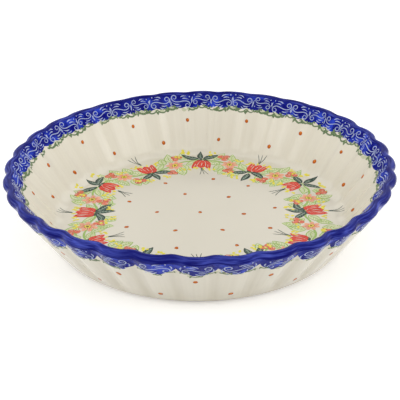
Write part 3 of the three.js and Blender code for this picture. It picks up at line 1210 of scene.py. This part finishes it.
TABLE_RADIUS = 1.6  # metres
TABLE_DROP = 0.0001  # below the foot of the dish
TABLE_CORNERS = 96
TABLE_SEEN, TABLE_GLOW = 0.87, 0.325  # diffuse white of the table as it is seen, and its glow
TABLE_BOUNCE = 0.88  # diffuse white of the table for the light that it throws on the dish
LAMP_AIM = Vector((0.0, 0.0, 0.03))
LAMPS = (  # name, place, width and height in metres, watts
    ("front_softbox", (0.10, -1.70, 0.55), 1.0, 0.7, 3.8),
    ("top_softbox", (0.0, -0.75, 1.55), 1.4, 0.9, 3.2),
    ("left_side_softbox", (-1.18, -0.75, 1.06), 1.1, 0.9, 3.9),
    ("right_side_softbox", (1.18, -0.75, 1.06), 1.1, 0.9, 5.4),
    ("left_low_softbox", (-1.55, 0.10, 0.36), 1.2, 0.5, 6.0),
    ("right_low_softbox", (1.55, 0.10, 0.36), 1.2, 0.5, 5.0),
    ("left_rear_softbox", (-0.75, 1.05, 1.20), 2.0, 1.4, 4.2),
    ("right_rear_softbox", (0.75, 1.05, 1.20), 2.0, 1.4, 5.8),
)


def seen_rays(tree):
    """1 for rays that show the background: straight to the camera, in a reflection or through glass."""
    path = node(tree, "ShaderNodeLightPath")
    seen = arithmetic(tree, "MAXIMUM", path.outputs["Is Camera Ray"], path.outputs["Is Glossy Ray"])
    return arithmetic(tree, "MAXIMUM", seen, path.outputs["Is Transmission Ray"])


def stage_floor_material():
    """White floor that shows as white to the camera and in reflections, and keeps the shadow."""
    material = bpy.data.materials.new("white table")
    material.use_nodes = True
    tree = material.node_tree
    tree.nodes.clear()
    white = node(tree, "ShaderNodeBsdfDiffuse", Color=(TABLE_SEEN, TABLE_SEEN, TABLE_SEEN))
    glow = node(tree, "ShaderNodeEmission", Color=(1, 1, 1), Strength=TABLE_GLOW)
    shown = worked_out(tree, "ShaderNodeAddShader", (white.outputs[0], glow.outputs[0]))
    bounce = node(tree, "ShaderNodeBsdfDiffuse", Color=(TABLE_BOUNCE, TABLE_BOUNCE, TABLE_BOUNCE))
    picked = worked_out(tree, "ShaderNodeMixShader", (seen_rays(tree), bounce.outputs[0], shown))
    node(tree, "ShaderNodeOutputMaterial", Surface=picked)
    return material


class PIEDISH_OT_stage(bpy.types.Operator):
    """Set up the white table, the soft lamps and the camera"""

    bl_idname = "pie_dish.stage"
    bl_label = "Stage"

    def execute(self, context):
        scene = context.scene
        stage = scene.pie_dish_stage
        self.add_floor(scene)
        self.add_lamps(scene)
        self.light_world(scene, stage.ambient)
        self.add_camera(scene, stage)
        scene.view_settings.view_transform = "Standard"
        return {"FINISHED"}

    def add_floor(self, scene):
        mesh = bpy.data.meshes.new("table_top")
        corners = [
            (TABLE_RADIUS * math.cos(turn), TABLE_RADIUS * math.sin(turn), -TABLE_DROP)
            for turn in np.linspace(0, 2 * math.pi, TABLE_CORNERS, endpoint=False)
        ]
        mesh.from_pydata(corners, [], [tuple(range(len(corners)))])
        mesh.materials.append(stage_floor_material())
        floor = bpy.data.objects.new("table_top", mesh)
        scene.collection.objects.link(floor)

    def add_lamps(self, scene):
        for name, place_at, wide, high, watts in LAMPS:
            light = bpy.data.lights.new(name, "AREA")
            light.shape, light.energy = "ELLIPSE", watts
            light.size, light.size_y = wide, high
            lamp = bpy.data.objects.new(name, light)
            lamp.location = place_at
            away = Vector(place_at) - LAMP_AIM
            lamp.rotation_euler = away.to_track_quat("Z", "Y").to_euler()
            scene.collection.objects.link(lamp)

    def light_world(self, scene, ambient):
        world = bpy.data.worlds.new("even light")
        scene.world = world
        world.use_nodes = True
        tree = world.node_tree
        back = tree.nodes["Background"]
        strength = ranged(tree, seen_rays(tree), 0.0, 1.0, ambient, 1.0)
        feed(tree, back.inputs["Strength"], strength)
        feed(tree, back.inputs["Color"], (1, 1, 1))

    def add_camera(self, scene, stage):
        turn, pitch, roll = stage.camera_turn, stage.camera_pitch, stage.camera_roll
        round_to = Vector((math.sin(turn), -math.cos(turn), 0.0))
        ahead = -math.cos(pitch) * round_to - math.sin(pitch) * Vector((0, 0, 1))
        level = Vector((math.cos(turn), math.sin(turn), 0.0))
        upright = level.cross(ahead)
        right = math.cos(roll) * level + math.sin(roll) * upright
        top = math.cos(roll) * upright - math.sin(roll) * level
        camera = bpy.data.objects.new("camera", bpy.data.cameras.new("camera"))
        camera.data.lens = stage.lens
        pose = Matrix((right, top, -ahead)).transposed().to_4x4()
        pose.translation = stage.camera_distance * round_to + Vector((0, 0, stage.camera_height))
        camera.matrix_world = pose
        scene.collection.objects.link(camera)
        scene.camera = camera


class PIEDISH_PT_sidebar(bpy.types.Panel):
    """Sizes, colours and steps of the dish"""

    bl_idname = "PIEDISH_PT_sidebar"
    bl_label = "Pie Dish"
    bl_space_type = "VIEW_3D"
    bl_region_type = "UI"
    bl_category = "Pie Dish"

    def draw(self, context):
        scene = context.scene
        for group in (scene.pie_dish_shape, scene.pie_dish_colours, scene.pie_dish_stage):
            box = self.layout.box()
            for name in group.bl_rna.properties.keys():
                if name not in ("rna_type", "name"):
                    box.prop(group, name)
        for operator in OPERATORS:
            self.layout.operator(operator.bl_idname)


GROUPS = {
    "pie_dish_shape": PieDishShape,
    "pie_dish_colours": PieDishColours,
    "pie_dish_stage": PieDishStage,
}
OPERATORS = (
    PIEDISH_OT_stage,
    PIEDISH_OT_clay_body,
    PIEDISH_OT_glaze_coats,
    PIEDISH_OT_borders,
    PIEDISH_OT_dots,
    PIEDISH_OT_garland,
)


def register():
    for group in (*GROUPS.values(), *OPERATORS, PIEDISH_PT_sidebar):
        bpy.utils.register_class(group)
    for name, group in GROUPS.items():
        setattr(bpy.types.Scene, name, bpy.props.PointerProperty(type=group))


def unregister():
    for name in GROUPS:
        delattr(bpy.types.Scene, name)
    for group in reversed((*GROUPS.values(), *OPERATORS, PIEDISH_PT_sidebar)):
        bpy.utils.unregister_class(group)


def main():
    register()
    for step in ("stage", "clay_body", "glaze_coats", "borders", "dots", "garland"):
        getattr(bpy.ops.pie_dish, step)()


if __name__ == "__main__":
    main()
